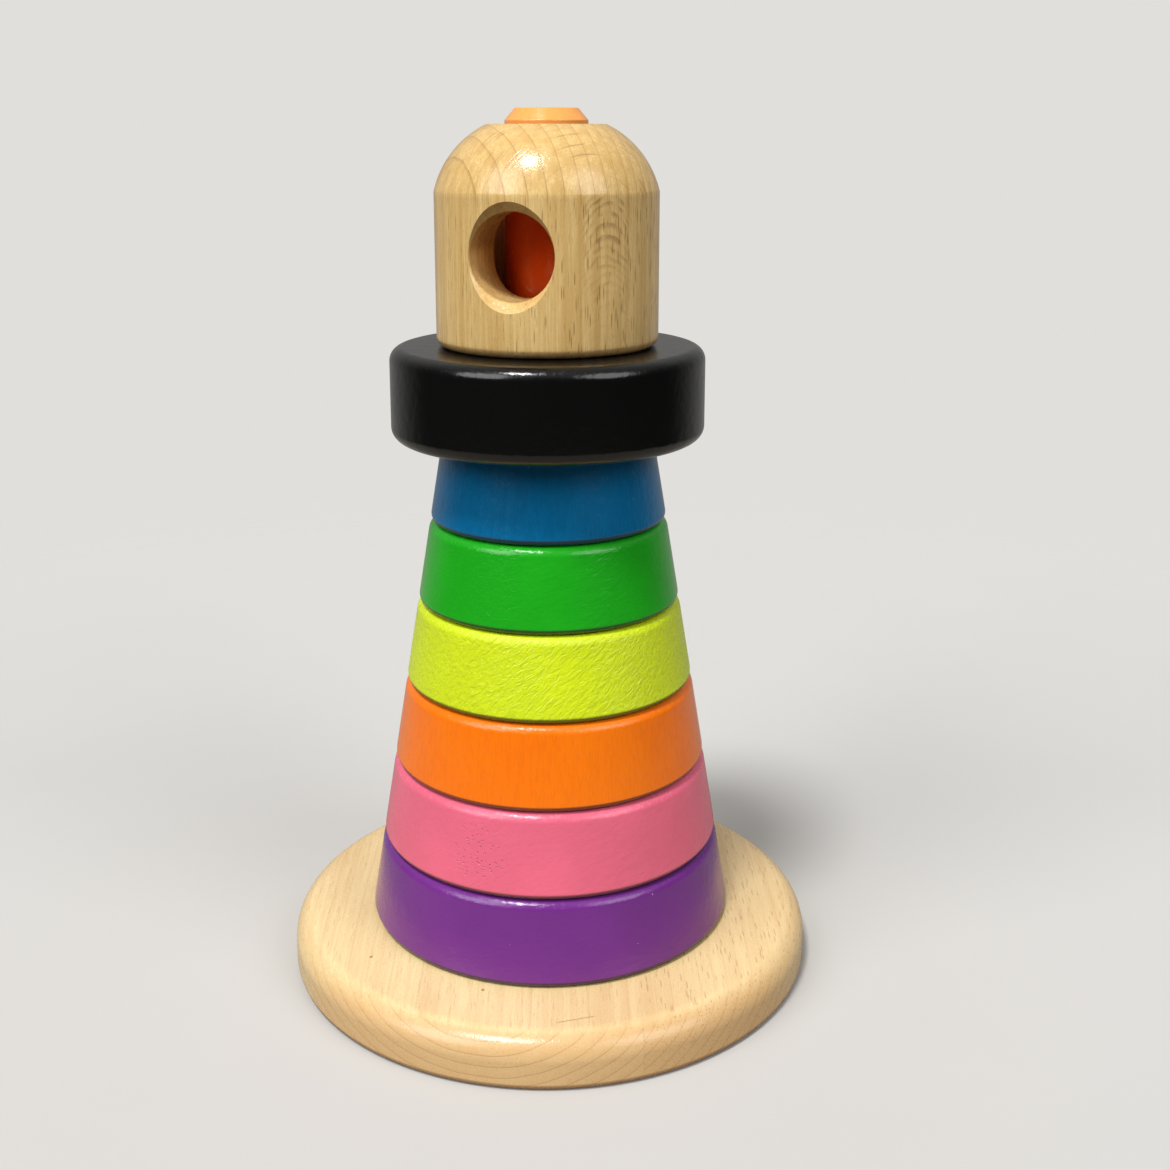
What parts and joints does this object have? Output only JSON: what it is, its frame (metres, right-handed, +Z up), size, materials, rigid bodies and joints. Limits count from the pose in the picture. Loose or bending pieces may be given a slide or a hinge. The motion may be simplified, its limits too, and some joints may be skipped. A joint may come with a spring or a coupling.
{
  "type": "ring stacker",
  "caption": "Wooden lighthouse ring stacker: tapered painted rings, a wide gallery ring and a domed head with a round window lift off a post on a round base.",
  "frame": {"origin": "middle of the base's underside, on the surface that it stands on", "axes": "+Z up along the post, -Y out of the window in the lamp head"},
  "size_m": [0.12, 0.12, 0.1946],
  "materials": {
    "base_beech": "oiled pale beech, satin",
    "post_lacquer": "orange lacquer, semi-gloss",
    "purple_paint": "purple paint, semi-gloss",
    "pink_paint": "pink paint, semi-gloss",
    "orange_paint": "orange paint, semi-gloss",
    "lime_paint": "lime yellow paint, semi-gloss",
    "green_paint": "green paint, semi-gloss",
    "blue_paint": "blue paint, semi-gloss",
    "black_paint": "black paint, satin",
    "head_beech": "oiled beech, satin"
  },
  "bodies": {
    "base": {"base_disc": "base_beech", "centre_post": "post_lacquer"},
    "purple": {"ring_purple": "purple_paint"},
    "pink": {"ring_pink": "pink_paint"},
    "orange": {"ring_orange": "orange_paint"},
    "lime": {"ring_lime": "lime_paint"},
    "green": {"ring_green": "green_paint"},
    "blue": {"ring_blue": "blue_paint"},
    "gallery": {"gallery_ring": "black_paint"},
    "head": {"lamp_head": "head_beech"}
  },
  "joints": [
    {"name": "purple_lift", "type": "slide", "parent": "base", "child": "purple", "axis": [0, 0, 1], "range_m": [0, 0.1884]},
    {"name": "pink_lift", "type": "slide", "parent": "purple", "child": "pink", "axis": [0, 0, 1], "range_m": [0, 0.1698]},
    {"name": "orange_lift", "type": "slide", "parent": "pink", "child": "orange", "axis": [0, 0, 1], "range_m": [0, 0.1512]},
    {"name": "lime_lift", "type": "slide", "parent": "orange", "child": "lime", "axis": [0, 0, 1], "range_m": [0, 0.1326]},
    {"name": "green_lift", "type": "slide", "parent": "lime", "child": "green", "axis": [0, 0, 1], "range_m": [0, 0.114]},
    {"name": "blue_lift", "type": "slide", "parent": "green", "child": "blue", "axis": [0, 0, 1], "range_m": [0, 0.0954]},
    {"name": "gallery_lift", "type": "slide", "parent": "blue", "child": "gallery", "axis": [0, 0, 1], "range_m": [0, 0.0768]},
    {"name": "head_lift", "type": "slide", "parent": "gallery", "child": "head", "axis": [0, 0, 1], "range_m": [0, 0.0562]}
  ]
}
